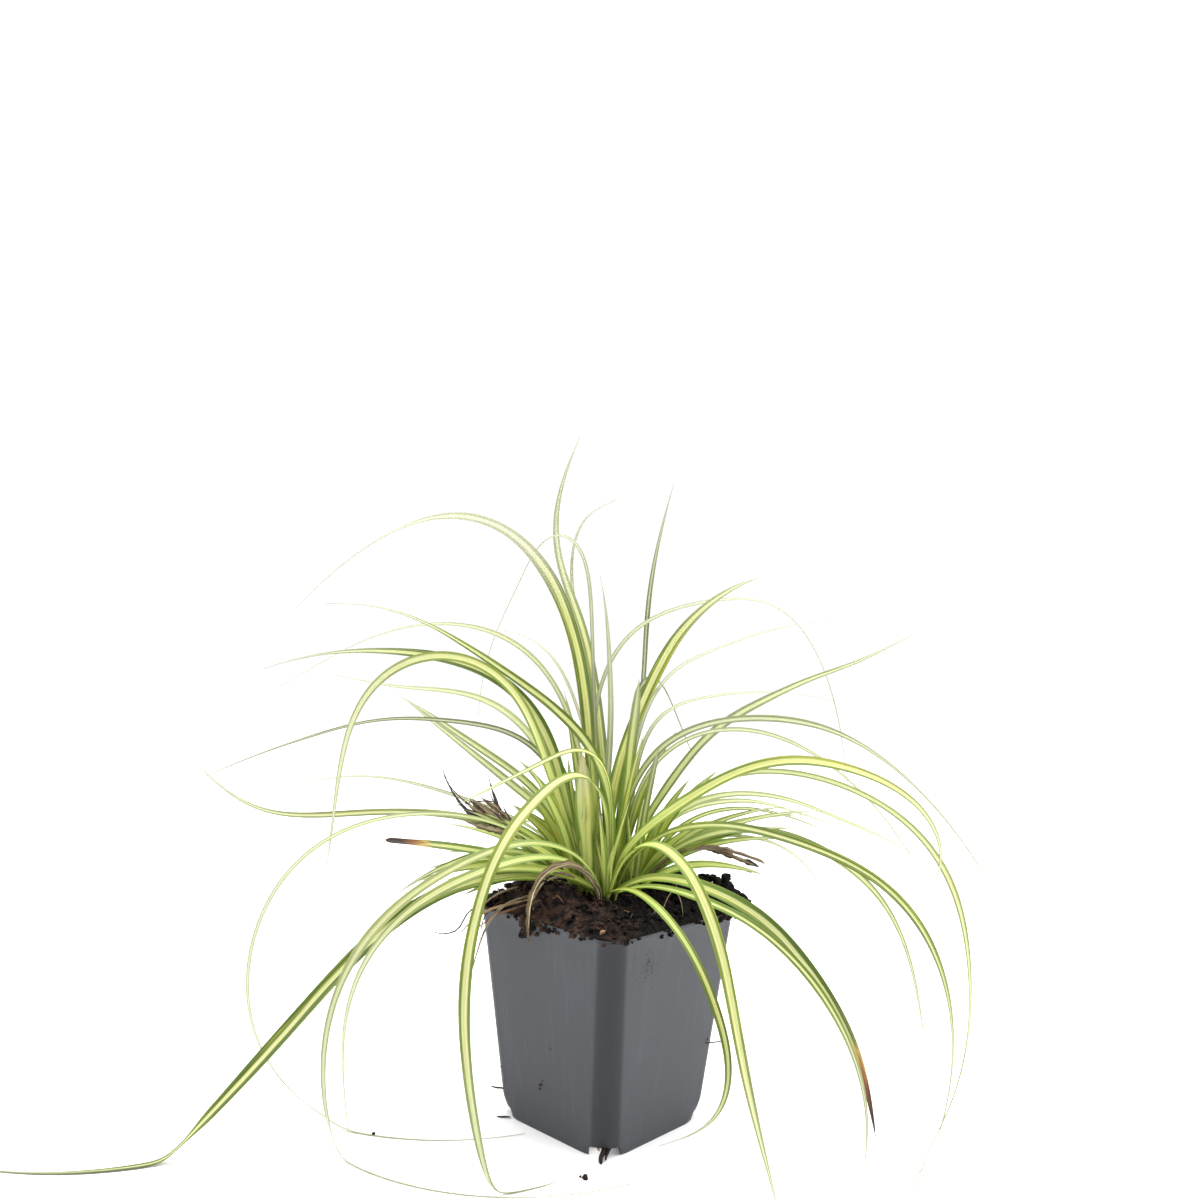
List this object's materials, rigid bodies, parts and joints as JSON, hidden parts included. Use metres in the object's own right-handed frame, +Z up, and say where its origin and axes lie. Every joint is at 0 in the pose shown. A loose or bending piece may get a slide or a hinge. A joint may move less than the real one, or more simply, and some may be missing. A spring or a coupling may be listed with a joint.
{
  "type": "potted ornamental sedge",
  "caption": "Variegated sedge with long arching striped leaves, rooted in peat in a square tapered plastic nursery pot that it rests in.",
  "frame": {"origin": "centre of the pot's flat underside", "axes": "+Z up out of the pot; -Y towards the front, where one of the pot's corners points; +X to the right, along the plant's longest spread"},
  "size_m": [0.4835, 0.2678, 0.3323],
  "materials": {
    "pot_plastic": "matt injection-moulded dark blue-grey plastic",
    "peat": null,
    "crown_straw": "fibrous shoot bases; wood stands in for living tissue",
    "blade_variegated": "satin leaf, cream stripe between green margins; wood stands in for living tissue",
    "blade_dead": "dry withered leaf, dull brown"
  },
  "bodies": {
    "root": {"pot": "pot_plastic", "soil": "peat", "crown": "crown_straw", "leaf_front_crossing": "blade_variegated", "leaf_left_long": "blade_variegated", "leaf_left_loop_a": "blade_variegated", "leaf_left_loop_b": "blade_variegated", "leaf_front_left_hanging": "blade_variegated", "leaf_front_short": "blade_variegated", "leaf_front_right": "blade_variegated", "leaf_right_low_thin": "blade_variegated", "leaf_right_low_wide": "blade_variegated", "leaf_right_long_dark": "blade_variegated", "leaf_right_arch": "blade_variegated", "leaf_inner_short_left": "blade_variegated", "leaf_inner_pale": "blade_variegated", "leaf_tall_arch": "blade_variegated", "leaf_tall_back": "blade_variegated", "leaf_thin_left_a": "blade_variegated", "leaf_left_pale_a": "blade_variegated", "leaf_right_tall": "blade_variegated", "leaf_left_upper": "blade_variegated", "leaf_left_hook": "blade_variegated", "leaf_left_pale_b": "blade_variegated", "leaf_left_pale_c": "blade_variegated", "leaf_left_dark_long": "blade_variegated", "leaf_left_wavy": "blade_variegated", "leaf_left_thin_grey": "blade_variegated", "leaf_left_great_loop": "blade_variegated", "leaf_left_brown_tip": "blade_variegated", "leaf_left_low_short": "blade_variegated", "leaf_back_drooping": "blade_variegated", "leaf_back_faint": "blade_variegated", "leaf_back_thin_left": "blade_variegated", "leaf_back_upright": "blade_variegated", "leaf_back_great_arch": "blade_variegated", "leaf_back_thin_right": "blade_variegated", "leaf_back_pale_right": "blade_variegated", "leaf_back_mint": "blade_variegated", "leaf_back_bent": "blade_variegated", "leaf_back_low_right": "blade_variegated", "leaf_back_low_middle": "blade_variegated", "leaf_back_low_left": "blade_variegated", "leaf_right_upper": "blade_variegated", "leaf_right_far": "blade_variegated", "leaf_right_dull_arch": "blade_variegated", "leaf_right_outer_loop": "blade_variegated", "leaf_right_pale_a": "blade_variegated", "leaf_right_pale_b": "blade_variegated", "leaf_right_pale_c": "blade_variegated", "leaf_right_thin_low": "blade_variegated", "leaf_right_drooping": "blade_variegated", "leaf_stub_green": "blade_variegated", "leaf_stub_grey": "blade_variegated", "dead_leaf_arch": "blade_dead", "dead_leaf_right": "blade_dead", "dead_leaf_stub_a": "blade_dead", "dead_leaf_stub_b": "blade_dead", "dead_strand_left": "blade_dead", "dead_strand_rim": "blade_dead"}
  },
  "joints": []
}
